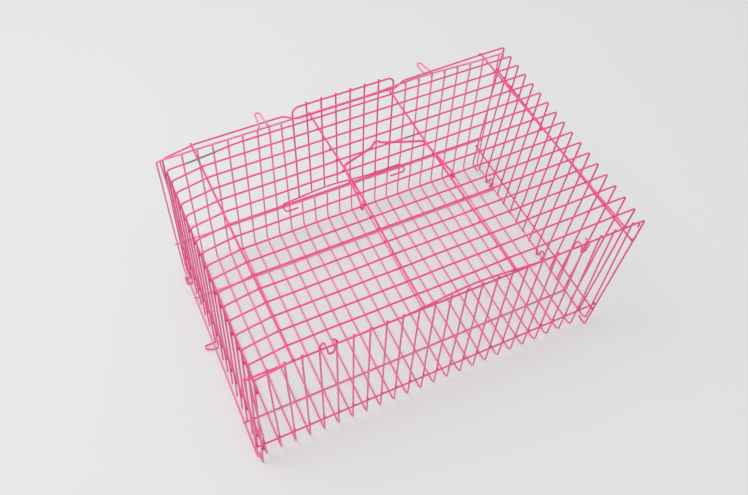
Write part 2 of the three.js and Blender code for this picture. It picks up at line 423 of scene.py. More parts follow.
def weld_together(rods: list[Wire], wires: list[Wire]) -> int:
    """Finds the welds between rods and the wires that lie on them.

    Args:
        rods: Wires that carry others.
        wires: Wires that may lie across them.

    Returns:
        How many welds there are.
    """
    found = 0
    for rod, wire in ((rod, wire) for rod in rods for wire in wires if wire is not rod):
        for run in rod.straight_runs():
            apart, first, second = nearest(run, wire.line)
            close = apart < (rod.diameter + wire.diameter) / 2 + WELD_REACH
            for index in np.flatnonzero(close):
                low = max(0, index - WELD_NEIGHBOURS)
                if index != low + int(np.argmin(apart[low:index + WELD_NEIGHBOURS + 1])):
                    continue
                along, across = run[1] - run[0], wire.line[index + 1] - wire.line[index]
                weld = Weld((first[index] + second[index]) / 2, along / np.linalg.norm(along),
                            across / np.linalg.norm(across), float(apart[index]), rod.diameter / 2)
                rod.welds.append(weld)
                wire.welds.append(weld)
                found += 1
    return found


def put_object(name: str, data: bpy.types.ID) -> bpy.types.Object:
    """Returns a new object in the scene."""
    made = bpy.data.objects.new(name, data)
    bpy.context.scene.collection.objects.link(made)
    return made


class WireMesh:
    """The mesh of a coated wire, with its cut ends and the coating gathered at its welds."""

    SIDES = 12
    BUMP_RINGS = 6
    BUMP_SIDES = 10
    DOME = (0.28, 0.62, 0.88)
    DOME_DEPTH = 0.6
    THINNER = 0.965
    UNEVENNESS = 0.012
    UNEVEN_TURN = 0.9
    STEEP = 0.9
    GATHER_REACH = 2.6
    SWELL = (0.92, 1.14)
    FILLET_WIDTH = 1.42
    FILLET_RISE = 0.32

    def __init__(self, wire: Wire, origin: Vector, chance: random.Random) -> None:
        """Starts with an empty mesh.

        Args:
            wire: The wire, with its centre line and its welds.
            origin: Where the place 0, 0, 0 of the sizes is in the frame of the model, in metres.
            chance: Source of the random thickness of the coating.
        """
        self.wire = wire
        self.origin = np.array(tuple(origin))
        self.chance = chance
        self.points: list[np.ndarray] = []
        self.gather: list[np.ndarray] = []
        self.faces: list[tuple[int, ...]] = []
        self.count = 0

    def _put(self, points: np.ndarray, gather: np.ndarray) -> int:
        """Adds points with how much coating each has gathered, and returns the first index."""
        first = self.count
        self.points.append(points)
        self.gather.append(gather)
        self.count += len(points)
        return first

    def _spokes(self, line: np.ndarray) -> tuple[np.ndarray, np.ndarray, np.ndarray]:
        """Returns the tangents of a line and two directions square to them that don't twist."""
        steps = np.diff(line, axis=0)
        steps /= np.linalg.norm(steps, axis=1)[:, None]
        tangents = np.concatenate([steps[:1], steps[:-1] + steps[1:], steps[-1:]])
        tangents /= np.linalg.norm(tangents, axis=1)[:, None]
        is_steep = abs(tangents[0, 2]) >= self.STEEP
        first = [np.cross(tangents[0], (1.0, 0.0, 0.0) if is_steep else (0.0, 0.0, 1.0))]
        first[0] /= np.linalg.norm(first[0])
        for tangent in tangents[1:]:
            side = first[-1] - (first[-1] @ tangent) * tangent
            first.append(side / np.linalg.norm(side))
        first = np.array(first)
        return tangents, first, np.cross(tangents, first)

    def sweep(self) -> None:
        """Sweeps the round wire with a domed cut end at each side."""
        line = self.wire.line.copy()
        radius = self.wire.diameter / 2 * self.THINNER
        tangents, first, second = self._spokes(line)
        depth = radius * self.DOME_DEPTH
        line[0] += tangents[0] * depth
        line[-1] -= tangents[-1] * depth
        outs = [depth * share for share in self.DOME]
        narrow = [math.sqrt(1 - share * share) for share in self.DOME]
        places = ([line[0] - tangents[0] * out for out in reversed(outs)] + list(line)
                  + [line[-1] + tangents[-1] * out for out in outs])
        pick = [0] * len(outs) + list(range(len(line))) + [len(line) - 1] * len(outs)
        shrink = narrow[::-1] + [1.0] * len(line) + narrow
        phase = self.chance.uniform(0, 2 * math.pi)
        angles = 2 * math.pi * (np.arange(self.SIDES) + 0.5) / self.SIDES
        rings = []
        for number, (place, index, share) in enumerate(zip(places, pick, shrink)):
            uneven = math.sin(number * self.UNEVEN_TURN + phase)
            thick = radius * share * (1 + self.UNEVENNESS * uneven)
            rings.append(place + thick * (np.cos(angles)[:, None] * first[index]
                                          + np.sin(angles)[:, None] * second[index]))
        points = np.concatenate(rings)
        base = self._put(points, self._gathered(points))
        sides = self.SIDES
        for ring in range(len(rings) - 1):
            low, high = base + ring * sides, base + (ring + 1) * sides
            for side in range(sides):
                after = (side + 1) % sides
                self.faces.append((low + side, low + after, high + after, high + side))
        last = base + (len(rings) - 1) * sides
        self.faces.append(tuple(base + side for side in reversed(range(sides))))
        self.faces.append(tuple(last + side for side in range(sides)))

    def _gathered(self, points: np.ndarray) -> np.ndarray:
        """Returns how near each point is to a weld, from 0 to 1."""
        share = np.zeros(len(points))
        for weld in self.wire.welds:
            distance = np.linalg.norm(points - weld.at, axis=1)
            share = np.maximum(share, np.exp(-(distance / self.GATHER_REACH) ** 2))
        return share

    def gather_coating(self) -> None:
        """Adds the fillet of coating at each weld."""
        for weld in self.wire.welds:
            swell = self.chance.uniform(*self.SWELL)
            normal = np.cross(weld.along, weld.across)
            axes = np.array([weld.along, np.cross(normal, weld.along), normal])
            wide = weld.rod_radius * self.FILLET_WIDTH * swell
            high = weld.apart / 2 + self.FILLET_RISE * swell
            self._ellipsoid(weld.at, axes, np.array([wide, wide, high]))

    def _ellipsoid(self, at: np.ndarray, axes: np.ndarray, reach: np.ndarray) -> None:
        """Adds an ellipsoid.

        Args:
            at: Its middle.
            axes: The directions of its three axes, one a row.
            reach: Half its size along each of them.
        """
        tall, sides = self.BUMP_RINGS, self.BUMP_SIDES
        angles = 2 * math.pi * np.arange(sides) / sides
        circle = np.stack([np.cos(angles), np.sin(angles), np.zeros(sides)], axis=1)
        pole = np.array([[0.0, 0.0, 1.0]])
        polars = [math.pi * ring / tall for ring in range(1, tall)]
        rings = [math.sin(polar) * circle + math.cos(polar) * pole for polar in polars]
        unit = np.concatenate([pole, *rings, -pole])
        first = self._put(at + (unit * reach) @ axes, np.ones(len(unit)))
        last = first + len(unit) - 1
        for side in range(sides):
            after = (side + 1) % sides
            self.faces.append((first, first + 1 + side, first + 1 + after))
            for ring in range(tall - 2):
                low = first + 1 + ring * sides
                high = low + sides
                self.faces.append((low + side, high + side, high + after, low + after))
            low = first + 1 + (tall - 2) * sides
            self.faces.append((low + side, last, low + after))

    def make(self) -> bpy.types.Object:
        """Makes the Blender object, which rides on its body in place of its solid."""
        self.sweep()
        if self.wire.is_rod:
            self.gather_coating()
        points = np.concatenate(self.points) * MM + self.origin
        mesh = bpy.data.meshes.new(f"coated_{self.wire.node}")
        mesh.from_pydata(points.tolist(), [], self.faces)
        mesh.shade_smooth()
        gathered = mesh.attributes.new("gathered", "FLOAT", "POINT")
        gathered.data.foreach_set("value", np.concatenate(self.gather).astype(np.float32))
        piece = put_object(mesh.name, mesh)
        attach(piece, self.wire.body.value)
        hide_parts(*STANDS_FOR.get(self.wire.node, (self.wire.node,)))
        return piece


@dataclass
class BaseMesh:
    """The U shaped mesh of floor, front and back wall, with its hairpin tabs."""

    shell: Shell = Shell()
    wires: int = 26
    bend: float = 8.0
    first_wire_from_end: float = 10.0
    last_wire_from_end: float = 22.0
    left_end_lean: float = 6.0
    back_left_lean: float = 6.5
    back_lean_first: int = 2
    back_lean_end: int = 9
    back_lean_fade: int = 2
    front_rod_height: float = 43.0
    front_end_drop: float = 0.7
    floor_rod_lift: float = 0.05
    lifted_edge: Dent = Dent((112, 136, 204), (84, 12, 46), (0, 0, 3.5))
    sill_height: float = 53.0
    floor_rod_from_side: float = 46.5
    rod_end_bend: float = 4.0
    rod_end_drop: float = 9.0
    left_guide: int = 9
    right_guide: int = 18
    back_tabs: tuple[tuple[int, int], ...] = ((7, 8), (19, 20))
    front_tabs: tuple[tuple[int, int], ...] = ((5, 6), (21, 22))
    tab_reach: float = 18.9
    tab_hang: float = 12.0

    def wire_x(self, index: int) -> float:
        """Returns the place of a wire along the cage."""
        half, last_even = self.shell.half_length, self.wires - 2
        if index > last_even:
            return half
        pitch = ((self.shell.base_length - self.first_wire_from_end - self.last_wire_from_end)
                 / (last_even - 1))
        return pitch * (index - 1) + self.first_wire_from_end - half if index else -half

    def wall_top_x(self, index: int, side: Side) -> float:
        """Returns where a wire ends at the top of a wall, as some of them lean."""
        if index == 0:
            return self.wire_x(index) + self.left_end_lean
        if side is Side.FRONT or index < self.back_lean_first:
            return self.wire_x(index)
        share = min(max((self.back_lean_end - index) / self.back_lean_fade, 0.0), 1.0)
        return self.wire_x(index) + self.back_left_lean * share

    def _half(self, index: int, side: Side) -> list[Corner]:
        """Returns a wire's corners from the floor to the end of one wall."""
        shell = self.shell
        if side is Side.FRONT:
            top = shell.edge_rod_height - self.front_end_drop
        elif self.left_guide < index < self.right_guide:
            top = self.sill_height
        else:
            top = shell.wall_wire_top
        wall = side.value * shell.half_width
        return [corner(self.wire_x(index), wall, shell.floor_height, self.bend),
                corner(self.wall_top_x(index, side), wall, top)]

    def _tab_half(self, index: int, middle: float, side: Side, curled: bool) -> list[Corner]:
        """Returns half of a tab that rises from a wire and passes over the cover's edge wire."""
        shell, bend = self.shell, self.shell.tab_bend
        wall = side.value * shell.half_width
        top_x = self.wall_top_x(index, side)
        root, tip = shell.tab_places(top_x, middle)
        over = shell.top_height + shell.gauges.wire + shell.tab_gap
        half = [corner(self.wire_x(index), wall, shell.floor_height, self.bend),
                corner(top_x, wall, shell.wall_wire_top, bend), corner(root, wall, over, bend)]
        if not curled:
            reach = wall + side.value * self.tab_reach
            return [*half, corner(tip, reach, over, shell.tab_tip_half)]
        outside = side.value * (shell.cover_half_width + shell.gauges.wire + shell.tab_gap)
        return [*half, corner(root, outside, over, bend),
                corner(tip, outside, over - self.tab_hang, shell.tab_tip_half)]

    def make_wires(self) -> list[Wire]:
        """Returns the wires that are bent to a U, single or joined in pairs by a tab."""
        paired = {index for pair in (*self.back_tabs, *self.front_tabs) for index in pair}
        wires = []
        for index in range(self.wires):
            if index in paired:
                continue
            corners = self._half(index, Side.FRONT)[::-1] + self._half(index, Side.BACK)
            is_plain = index not in (0, self.wires - 1, self.left_guide, self.right_guide)
            wires.append(self._wire(numbered("base_wire", index), corners, is_plain))
        for pairs, side, other in ((self.back_tabs, Side.BACK, Side.FRONT),
                                   (self.front_tabs, Side.FRONT, Side.BACK)):
            for first, second in pairs:
                middle = (self.wall_top_x(first, side) + self.wall_top_x(second, side)) / 2
                one, two = (self._half(index, other)[::-1]
                            + self._tab_half(index, middle, side, side is Side.FRONT)
                            for index in (first, second))
                node = numbered("base_wire", first, second)
                wires.append(self._wire(node, one + two[::-1], False))
        return wires

    def _wire(self, node: str, corners: list[Corner], sways: bool) -> Wire:
        """Returns one wire of the base."""
        return Wire(node, corners, self.shell.gauges.wire, Body.CAGE, Slot.BASE,
                    sway=Vector((1, 0, 0)) if sways else None, dents=(self.lifted_edge,))

    def make_rods(self) -> list[Wire]:
        """Returns the rods that lie under the floor, outside the walls and along their tops."""
        shell = self.shell
        gauges = shell.gauges
        wall = shell.half_width + gauges.wire_to_rod
        inner = shell.half_width - self.floor_rod_from_side
        low = (shell.floor_height - gauges.wire_to_rod - (gauges.rod - gauges.shown_rod) / 2
               + self.floor_rod_lift)
        reach = shell.half_length + shell.wire_end_past_rod
        straight = {
            "front_low_rod": (-wall, self.front_rod_height), "floor_front_rod": (-inner, low),
            "floor_back_rod": (inner, low), "door_sill_rod": (wall, self.sill_height),
        }
        routes = {node: [corner(-reach, y, z), corner(reach, y, z)]
                  for node, (y, z) in straight.items()}
        left = self.left_end_lean - shell.half_length
        right = shell.right_top_x - shell.wire_end_past_rod
        top, end = shell.edge_rod_height, shell.edge_rod_height - self.rod_end_drop
        for node, y in (("front_edge_rod", -wall), ("back_edge_rod", wall)):
            routes[node] = [corner(left, y, end), corner(left, y, top, self.rod_end_bend),
                            corner(right, y, top, self.rod_end_bend), corner(right, y, end)]
        return [Wire(node, corners, gauges.shown_rod, Body.CAGE, Slot.BASE, is_rod=True,
                     dents=(self.lifted_edge,)) for node, corners in routes.items()]


@dataclass
class CoverMesh:
    """The mesh of top, left and right wall that is set over the base."""

    shell: Shell = Shell()
    inset_at_floor: float = 3.3
    left_droop: float = 7.5
    left_droop_run: float = 36.0
    left_droop_bend: float = 40.0
    left_corner_bend: float = 5.0
    right_corner_bend: float = 3.2
    wire_end_height: float = 6.0
    low_rod_height: float = 38.0
    high_rod_drop: float = 33.5
    foot_length: float = 13.0
    foot_bend: float = 3.0
    top_rod_x: tuple[Numbers, ...] = (
        (-160.6, -165.6), (-29.4, -33.6), (68.2, 62.6), (194.8, 187.2))
    top_rod_y: tuple[Numbers, ...] = (
        (-140.8, 140.6), (-140.4, 132.2), (-137.6, 132.2), (-140.4, 140.0))
    slack: float = 2.2
    slack_end: float = 190.0
    slack_bend: float = 60.0
    dents: tuple[tuple[str, Dent], ...] = (
        ("cover_wire_01", Dent((26, -140, 207), (84, 30, 60), (0, 4.8, 0))),
        ("cover_wire_15_16_17", Dent((-164, 123.5, 207), (48, 8, 14), (0, -4.3, 0))),
        ("top_rod_02", Dent((-31, 10, 209.6), (20, 120, 20), (2.6, 0, 0))),
    )
    jog_before: float = 12.0
    jog_after: float = 2.0
    jog_inside: float = 4.0
    jog_bend: float = 6.0
    chains: tuple[tuple[tuple[int, ...], int, bool], ...] = (
        ((6, 7), 1, True), ((9, 10), -1, False), ((14, 15, 16), 1, True))
    tab_reach: float = 13.0
    tab_rise: float = 3.0
    tab_curl_height: float = 10.0
    tab_pinch_rise: float = 11.0

    @property
    def bottom_x(self) -> float:
        """Distance of the side walls' feet from the middle."""
        return self.shell.half_length - self.inset_at_floor

    @property
    def under_height(self) -> float:
        """Height of a wire that passes under the floor wires."""
        shell, gauges = self.shell, self.shell.gauges
        return shell.floor_height - gauges.wire - shell.tab_gap + gauges.weld_gap

    def wall_x(self, side: int, z: float) -> float:
        """Returns where the wires of a side wall are at a height.

        Args:
            side: -1 for the left wall, 1 for the right one.
            z: The height.
        """
        shell = self.shell
        bottom = side * self.bottom_x
        top = shell.left_top_x if side < 0 else shell.right_top_x
        top_z = shell.top_height - self.left_droop if side < 0 else shell.top_height
        return bottom + (top - bottom) * (z - shell.floor_height) / (top_z - shell.floor_height)

    def _shoulders(self, y: float) -> tuple[list[Corner], list[Corner]]:
        """Returns the corners between the top and the left wall, and the top and the right wall."""
        shell = self.shell
        x, top = shell.left_top_x, shell.top_height
        left = [corner(x, y, top - self.left_droop, self.left_corner_bend),
                corner(x + self.left_droop_run, y, top, self.left_droop_bend)]
        return left, [corner(shell.right_top_x, y, top, self.right_corner_bend)]

    def _end(self, side: int, y: float) -> list[Corner]:
        """Returns the cut end of a wire near the floor."""
        return [corner(self.wall_x(side, self.wire_end_height), y, self.wire_end_height)]

    def _foot(self, side: int, y: float) -> list[Corner]:
        """Returns the foot of an edge wire, which is bent in along the floor."""
        inward = -math.copysign(self.foot_length, y)
        x, z = side * self.bottom_x, self.under_height
        return [corner(x, y + inward, z), corner(x, y, z, self.foot_bend)]

    def _jog(self) -> list[Corner]:
        """Returns the step that the back edge wire makes where the door lifts past it."""
        shell = self.shell
        inside, y, z = shell.half_width - self.jog_inside, shell.cover_half_width, shell.top_height
        left, right = shell.door_sides
        return [corner(left - self.jog_before, y, z, self.jog_bend),
                corner(left + self.jog_after, inside, z, self.jog_bend),
                corner(right - self.jog_after, inside, z, self.jog_bend),
                corner(right + self.jog_before, y - self.slack, z, self.jog_bend),
                corner(self.slack_end, y, z, self.slack_bend)]

    def _tab_half(self, index: int, middle: float, side: int, curled: bool) -> list[Corner]:
        """Returns half of a tab that passes under the base's outer wire."""
        shell, bend = self.shell, self.shell.tab_bend
        y = shell.cover_y(index)
        root, tip = shell.tab_places(y, middle)
        pinch, under = shell.floor_height + self.tab_pinch_rise, self.under_height
        if curled:
            outside = end = side * (shell.half_length + shell.gauges.wire + shell.tab_gap)
            height = self.tab_curl_height
        else:
            outside = side * (shell.half_length + shell.gauges.wire / 2)
            end, height = side * (self.bottom_x + self.tab_reach), under + self.tab_rise
        return [corner(self.wall_x(side, pinch), y, pinch, bend),
                corner(side * self.bottom_x, root, under, bend),
                corner(outside, root, under, bend), corner(end, tip, height, shell.tab_tip_half)]

    def make_wires(self) -> list[Wire]:
        """Returns the wires that run up one side, over the top and down the other."""
        shell = self.shell
        chained = {index for chain, _, _ in self.chains for index in chain}
        wires = []
        for index in range(shell.cover_wires):
            if index in chained:
                continue
            y = shell.cover_y(index)
            left, right = self._shoulders(y)
            is_edge = index in (0, shell.cover_wires - 1)
            ends = [self._foot(side, y) if is_edge else self._end(side, y) for side in (-1, 1)]
            jog = self._jog() if index == shell.cover_wires - 1 else []
            corners = ends[0] + left + jog + right + ends[1][::-1]
            wires.append(self._wire(numbered("cover_wire", index), corners, not is_edge))
        wires += [self._chain(*chain) for chain in self.chains]
        return wires

    def _chain(self, indices: tuple[int, ...], side: int, curled: bool) -> Wire:
        """Returns wires that tabs join into one.

        Args:
            indices: The wires' places.
            side: The side of the first tab, which then changes in turn.
            curled: Whether the tabs are curled up round the base's outer wire.
        """
        shell = self.shell
        corners = self._end(-side, shell.cover_y(indices[0]))
        for place, index in enumerate(indices):
            y = shell.cover_y(index)
            toward = -side if place % 2 else side
            left, right = self._shoulders(y)
            corners += left + right if toward > 0 else (left + right)[::-1]
            if place == len(indices) - 1:
                corners += self._end(toward, y)
                break
            middle = (y + shell.cover_y(index + 1)) / 2
            corners += self._tab_half(index, middle, toward, curled)
            corners += self._tab_half(index + 1, middle, toward, curled)[::-1]
        return self._wire(numbered("cover_wire", *indices), corners, False)

    def _wire(self, node: str, corners: list[Corner], sways: bool) -> Wire:
        """Returns one wire of the cover."""
        return Wire(node, corners, self.shell.gauges.wire, Body.CAGE, Slot.COVER,
                    sway=Vector((0, 1, 0)) if sways else None, dents=self._dented(node))

    def make_rods(self) -> list[Wire]:
        """Returns the thick rods on the top and the thin ones inside the side walls."""
        shell = self.shell
        gauges = shell.gauges
        reach = shell.cover_half_width + shell.wire_end_past_rod
        top_z = shell.top_height + gauges.wire / 2 + gauges.weld_gap + gauges.top_rod / 2
        rods = []
        for index, (x, y) in enumerate(zip(self.top_rod_x, self.top_rod_y)):
            ends = [corner(x[0], y[0], top_z), corner(x[1], y[1], top_z)]
            rods.append(self._rod(numbered("top_rod", index), ends, gauges.shown_top_rod))
        heights = {"low": self.low_rod_height, "high": shell.top_height - self.high_rod_drop}
        for side, name in ((-1, "left"), (1, "right")):
            for level, z in heights.items():
                x = self.wall_x(side, z) - side * gauges.wire_to_rod
                ends = [corner(x, -reach, z), corner(x, reach, z)]
                rods.append(self._rod(f"{name}_{level}_rod", ends, gauges.shown_rod))
        return rods

    def _dented(self, node: str) -> tuple[Dent, ...]:
        """Returns the dents of one wire."""
        return tuple(dent for name, dent in self.dents if name == node)

    def _rod(self, node: str, ends: list[Corner], diameter: float) -> Wire:
        """Returns a rod from the front to the back."""
        return Wire(node, ends, diameter, Body.CAGE, Slot.COVER, is_rod=True,
                    dents=self._dented(node))


@dataclass
class LiftDoor:
    """The door that lifts in the back wall, held by two hooks round the guide wires."""

    base: BaseMesh = field(default_factory=BaseMesh)
    rise: float = 13.0
    corner_bend: float = 8.0
    bars: int = 6
    bar_foot: float = 0.3
    bowed_rail: Dent = Dent((-12, 140, 56), (62, 20, 26), (0, 0, 5.6))
    hook_reach: float = 8.0
    left_hook_play: float = 8.0
    left_hook_return: float = 17.0
    right_hook_play: float = 5.0
    right_hook_return: float = 22.0
    hook_bend: float = 4.0

    def make_wires(self) -> tuple[list[Wire], list[Wire]]:
        """Returns the frame and rail, which carry the bars, and the bars."""
        shell, gauges = self.base.shell, self.base.shell.gauges
        radius = gauges.door_frame / 2
        y = (shell.half_width + gauges.wire / 2 + gauges.weld_gap + gauges.rod + gauges.pass_gap
             + radius)
        left, right = shell.door_sides
        rail_z = self.base.sill_height + gauges.rod / 2 + gauges.pass_gap + radius
        top_z = shell.edge_rod_height + self.rise
        foot_z = rail_z + radius + gauges.weld_gap
        outline = [corner(left, y, foot_z), corner(left, y, top_z, self.corner_bend),
                   corner(right, y, top_z, self.corner_bend), corner(right, y, foot_z)]
        hook_y = shell.half_width - self.hook_reach
        left_x = self.base.wire_x(self.base.left_guide) - self.left_hook_play
        right_x = self.base.wire_x(self.base.right_guide) + self.right_hook_play
        bends = ((left_x, hook_y), (left_x, y), (right_x, y), (right_x, hook_y))
        rail = [corner(left_x + self.left_hook_return, hook_y, rail_z),
                *(corner(*place, rail_z, self.hook_bend) for place in bends),
                corner(right_x - self.right_hook_return, hook_y, rail_z)]
        carriers = [self._wire("door_frame", outline, gauges.shown_door, True),
                    self._wire("door_rail", rail, gauges.shown_door, True)]
        bar_y = y + radius + gauges.weld_gap + gauges.door_bar / 2
        bars = []
        for index in range(self.bars):
            x = left + shell.door_width * (index + 1) / (self.bars + 1)
            ends = [corner(x, bar_y, rail_z - self.bar_foot), corner(x, bar_y, top_z + radius)]
            bars.append(self._wire(numbered("door_bar", index), ends, gauges.door_bar, False))
        return carriers, bars

    def _wire(self, node: str, corners: list[Corner], diameter: float, is_rod: bool) -> Wire:
        """Returns one wire of the door."""
        return Wire(node, corners, diameter, Body.DOOR, Slot.DOOR, is_rod=is_rod,
                    dents=(self.bowed_rail,))


@dataclass
class CarryHandle:
    """The folding handle, one wire whose ends are eyes round a wire of the top.

    Its corners are given by their place from the handle's middle along the cage and by their
    reach from the hinge: on each side the foot, the shoulder and where the slope ends.
    """

    shell: Shell = Shell()
    x: float = 16.3
    left: tuple[Numbers, ...] = ((-50.4, 0.0), (-48.6, 48.4), (-12.6, 58.4))
    peak: Numbers = (-6.0, 64.6)
    right: tuple[Numbers, ...] = ((54.2, 0.0), (42.2, 46.2), (1.4, 59.4))
    hinge_wire: int = 8
    tilt: float = math.radians(10.5)
    shoulder_bend: float = 5.0
    peak_bend: float = 4.0
    eye_end_angle: float = math.radians(250)
    eye_steps: int = 20

    def make_wire(self) -> Wire:
        """Returns the handle's wire."""
        gauges = self.shell.gauges
        hinge_y = self.shell.cover_y(self.hinge_wire)
        eye = gauges.wire / 2 + gauges.pass_gap + gauges.handle / 2
        top = self.shell.top_height

        def at(x: float, reach: float, bend: float = 0.0) -> Corner:
            """Returns a corner at a reach from the hinge along the tilted handle."""
            return corner(self.x + x, hinge_y + reach * math.cos(self.tilt),
                          top + eye + reach * math.sin(self.tilt), bend)

        halves = []
        for foot, shoulder, slope in (self.left, self.right):
            half = []
            for step in range(self.eye_steps, 0, -1):
                angle = math.pi / 2 + self.eye_end_angle * step / self.eye_steps
                half.append(corner(self.x + foot[0], hinge_y + eye * math.cos(angle),
                                   top + eye * math.sin(angle)))
            halves.append(half + [at(*foot), at(*shoulder, self.shoulder_bend),
                                  at(*slope, self.peak_bend)])
        corners = halves[0] + [at(*self.peak, self.peak_bend)] + halves[1][::-1]
        return Wire("carry_handle", corners, gauges.handle, Body.HANDLE, Slot.HANDLE)


def fill(node: bpy.types.Node, inputs: dict) -> bpy.types.Node:
    """Links sockets to a node's inputs or gives them values, and returns the node."""
    for name, value in inputs.items():
        if isinstance(value, NodeSocket):
            node.id_data.links.new(value, node.inputs[name])
        else:
            node.inputs[name].default_value = value
    return node


def add_node(tree: NodeTree, kind: str, inputs: dict | None = None,
             **settings: object) -> bpy.types.Node:
    """Adds a node to a tree.

    Args:
        tree: The node tree.
        kind: The node's type without its first word.
        inputs: The sockets to link to its inputs or the values to give them.
        settings: Its properties.

    Returns:
        The node.
    """
    node = tree.nodes.new(f"ShaderNode{kind}")
    for name, value in settings.items():
        setattr(node, name, value)
    return fill(node, inputs or {})


def combine(tree: NodeTree, operation: str, *values: object) -> NodeSocket:
    """Returns the result of an operation on sockets or numbers."""
    node = add_node(tree, "Math", dict(enumerate(values)), operation=operation)
    return node.outputs["Value"]


def ramp(tree: NodeTree, value: NodeSocket, start: float, end: float, most: float) -> NodeSocket:
    """Returns a value's way from a start to an end, from 0 to the most."""
    inputs = {"Value": value, "From Min": start, "From Max": end, "To Max": most}
    return add_node(tree, "MapRange", inputs).outputs["Result"]


def mix_colours(tree: NodeTree, share: NodeSocket, first: NodeSocket,
                second: object) -> NodeSocket:
    """Returns a mix of two colours, of which the second may be a socket or a plain colour."""
    inputs = {"Factor": share, MIX_FIRST: first, MIX_SECOND: second}
    return add_node(tree, "Mix", inputs, data_type="RGBA").outputs[MIX_RESULT]


class NodeGroup:
    """A shader node group with named inputs and outputs."""

    def __init__(self, name: str, takes: dict[str, object], gives: dict[str, str]) -> None:
        """Makes the group with its sockets.

        Args:
            name: The group's name.
            takes: Its inputs with their values where nothing is linked: one number for a Float,
                three for a Vector, four for a Color.
            gives: Its outputs with their kinds.
        """
        self.tree = bpy.data.node_groups.new(name, "ShaderNodeTree")
        add_socket = self.tree.interface.new_socket
        for socket, value in takes.items():
            kind = "Float" if isinstance(value, float) else {3: "Vector", 4: "Color"}[len(value)]
            made = add_socket(name=socket, in_out="INPUT", socket_type=f"NodeSocket{kind}")
            made.default_value = value
        for socket, kind in gives.items():
            add_socket(name=socket, in_out="OUTPUT", socket_type=f"NodeSocket{kind}")
        self.inlet = self.tree.nodes.new("NodeGroupInput").outputs
        self.outlet = self.tree.nodes.new("NodeGroupOutput").inputs

    def noise(self, scale: float, detail: float, roughness: float) -> NodeSocket:
        """Returns a noise over the place on the object."""
        inputs = {"Vector": self.inlet["Place"], "Scale": scale, "Detail": detail,
                  "Roughness": roughness}
        return add_node(self.tree, "TexNoise", inputs).outputs["Fac"]

    def give(self, name: str, source: NodeSocket) -> None:
        """Puts a socket out under a name."""
        self.tree.links.new(source, self.outlet[name])


class SharedGroups:
    """The node groups that the coatings share.

    A noise is given by its scale, detail and roughness, and a ramp by its start, end and most.
    """

    NOWHERE = (0.0, 0.0, 0.0)
    CLOUDS = (22.0, 3.0, 0.6)
    PALE_RAMP = (0.52, 0.78, 0.5)
    SPECKS = (210.0, 2.0, 0.5)
    SPECK_RAMP = (0.5, 0.8, 0.45)
    HEAP_SHARE = 0.55
    RIPPLES = (480.0, 2.0, 0.5)
    PATCHES = (60.0, 3.0, 0.5)
    PATCH_SPREAD = 0.22
    WORN_ROUGHER = 0.3
    WORN_LOWER = 0.8
    RAGS = (320.0, 3.0, 0.65)
    RAG_SHARE = 0.9
    WEAR_RAMP = (1.45, 1.15, 1.0)

    def __init__(self) -> None:
        """Builds each group once."""
        self.tone = self._tone()
        self.skin = self._skin()
        self.wear = self._wear()

    @classmethod
    def _tone(cls) -> NodeTree:
        """Returns the group that varies the coating's colour and deepens it at the welds."""
        group = NodeGroup("coating_tone", {
            "Place": cls.NOWHERE, "Gathered": 0.0, "Colour": (0.8, 0.05, 0.2, 1),
            "Deep colour": (0.6, 0.02, 0.12, 1), "Pale colour": (0.9, 0.2, 0.4, 1),
        }, {"Colour": "Color"})
        tree, inlet = group.tree, group.inlet
        pale = ramp(tree, group.noise(*cls.CLOUDS), *cls.PALE_RAMP)
        lighter = mix_colours(tree, pale, inlet["Colour"], inlet["Pale colour"])
        speck = ramp(tree, group.noise(*cls.SPECKS), *cls.SPECK_RAMP)
        heap = combine(tree, "MULTIPLY_ADD", inlet["Gathered"], cls.HEAP_SHARE, speck)
        group.give("Colour", mix_colours(tree, heap, lighter, inlet["Deep colour"]))
        return tree

    @classmethod
    def _skin(cls) -> NodeTree:
        """Returns the group that gives the coating's gloss and its faint ripples."""
        group = NodeGroup("coating_skin", {"Place": cls.NOWHERE, "Wear": 0.0, "Roughness": 0.3},
                          {"Roughness": "Float", "Height": "Float"})
        tree, wear, spread = group.tree, group.inlet["Wear"], cls.PATCH_SPREAD
        ripple, patch = group.noise(*cls.RIPPLES), group.noise(*cls.PATCHES)
        dull = combine(tree, "MULTIPLY_ADD", patch, spread, -spread / 2)
        plain = combine(tree, "ADD", dull, group.inlet["Roughness"])
        group.give("Roughness", combine(tree, "MULTIPLY_ADD", wear, cls.WORN_ROUGHER, plain))
        group.give("Height", combine(tree, "MULTIPLY_ADD", wear, -cls.WORN_LOWER, ripple))
        return tree

    @classmethod
    def _wear(cls) -> NodeTree:
        """Returns the group that masks one worn place with a ragged edge."""
        group = NodeGroup("worn_place", {"Place": cls.NOWHERE, "Middle": cls.NOWHERE,
                                         "Reach": 0.01, "Before": 0.0}, {"Wear": "Float"})
        tree, inlet = group.tree, group.inlet
        away = add_node(tree, "VectorMath", {0: inlet["Place"], 1: inlet["Middle"]},
                        operation="DISTANCE")
        share = combine(tree, "DIVIDE", away.outputs["Value"], inlet["Reach"])
        ragged = combine(tree, "MULTIPLY_ADD", group.noise(*cls.RAGS), cls.RAG_SHARE, share)
        edge = ramp(tree, ragged, *cls.WEAR_RAMP)
        group.give("Wear", combine(tree, "MAXIMUM", edge, inlet["Before"]))
        return tree


@dataclass(frozen=True)
class WornPlace:
    """A place where the coating is rubbed off or dirty.

    Args:
        at: Its middle in the frame of the model, in metres.
        reach: How far it goes, in metres.
    """

    at: Numbers
    reach: float


